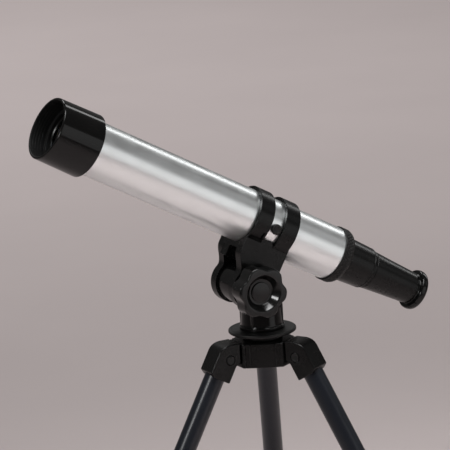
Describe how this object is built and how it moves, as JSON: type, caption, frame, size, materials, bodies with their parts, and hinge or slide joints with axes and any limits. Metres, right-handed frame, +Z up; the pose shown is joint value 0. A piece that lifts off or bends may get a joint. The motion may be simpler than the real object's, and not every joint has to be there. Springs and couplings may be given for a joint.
{
  "type": "telescope on tripod",
  "caption": "Small refracting telescope with a silver tube, dark hood and eyepiece, held in a two-ring saddle that tilts and pans on a folding table tripod.",
  "frame": {"origin": "on the floor, under the centre of the bounding box", "axes": "+Z up, the objective points towards -X and up, the tilt axis lies along Y with the tilt knob on -Y"},
  "size_m": [0.2942, 0.2722, 0.413],
  "materials": {
    "silver_tube": "fine lengthwise brushed, clear anodised",
    "gloss_black": "polished",
    "satin_black": "satin moulded",
    "matt_black": "fine textured",
    "leg_blue_black": "smooth gloss enamel",
    "lens_glass": "coated",
    "plated_steel": "satin plated",
    "foot_rubber": "matt"
  },
  "bodies": {
    "tripod": {"crown": "satin_black", "pan_screw": "plated_steel", "friction_washer": "matt_black"},
    "head": {"swivel_disc": "satin_black", "yoke": "gloss_black"},
    "tube": {"main_tube": "silver_tube", "objective_hood": "gloss_black", "objective_lens": "lens_glass", "lens_retaining_ring": "satin_black", "light_baffle": "matt_black", "tube_end_collar": "matt_black", "saddle": "satin_black", "tube_stop_button": "matt_black", "pivot_bolt": "plated_steel", "bolt_washer": "plated_steel"},
    "eyepiece": {"focus_barrel": "satin_black", "eyepiece_barrel": "satin_black", "eye_flange": "gloss_black", "field_lens": "lens_glass", "field_stop": "matt_black", "eye_lens": "lens_glass"},
    "knob": {"tilt_knob": "satin_black", "knob_cap": "satin_black"},
    "leg_1": {"leg_cap_1": "satin_black", "leg_pin_1": "matt_black", "leg_tube_1": "leg_blue_black", "leg_foot_1": "foot_rubber"},
    "leg_2": {"leg_cap_2": "satin_black", "leg_pin_2": "matt_black", "leg_tube_2": "leg_blue_black", "leg_foot_2": "foot_rubber"},
    "leg_3": {"leg_cap_3": "satin_black", "leg_pin_3": "matt_black", "leg_tube_3": "leg_blue_black", "leg_foot_3": "foot_rubber"}
  },
  "joints": [
    {"name": "pan_swivel", "type": "hinge", "parent": "tripod", "child": "head", "pos_m": [0.01554, -0.00155, 0.2295], "axis": [0, 0, 1], "continuous": true},
    {"name": "tilt", "type": "hinge", "parent": "head", "child": "tube", "pos_m": [0.00104, -0.00155, 0.26448], "axis": [0, 1, 0], "range_deg": [-68, 30]},
    {"name": "knob_spin", "type": "hinge", "parent": "tube", "child": "knob", "pos_m": [0.00104, -0.02955, 0.26448], "axis": [0, 1, 0], "continuous": true},
    {"name": "focus_slide", "type": "slide", "parent": "tube", "child": "eyepiece", "axis": [0.8686, 0, -0.4955], "range_m": [-0.014, 0.018]},
    {"name": "leg_fold_1", "type": "hinge", "parent": "tripod", "child": "leg_1", "pos_m": [-0.01505, -0.00219, 0.21398], "axis": [0.0209, -0.9998, 0], "range_deg": [0, 29]},
    {"name": "leg_fold_2", "type": "hinge", "parent": "tripod", "child": "leg_2", "pos_m": [0.0314, -0.02772, 0.21398], "axis": [0.8554, 0.518, 0], "range_deg": [0, 29]},
    {"name": "leg_fold_3", "type": "hinge", "parent": "tripod", "child": "leg_3", "pos_m": [0.03029, 0.02527, 0.21398], "axis": [-0.8763, 0.4818, 0], "range_deg": [0, 29]}
  ]
}
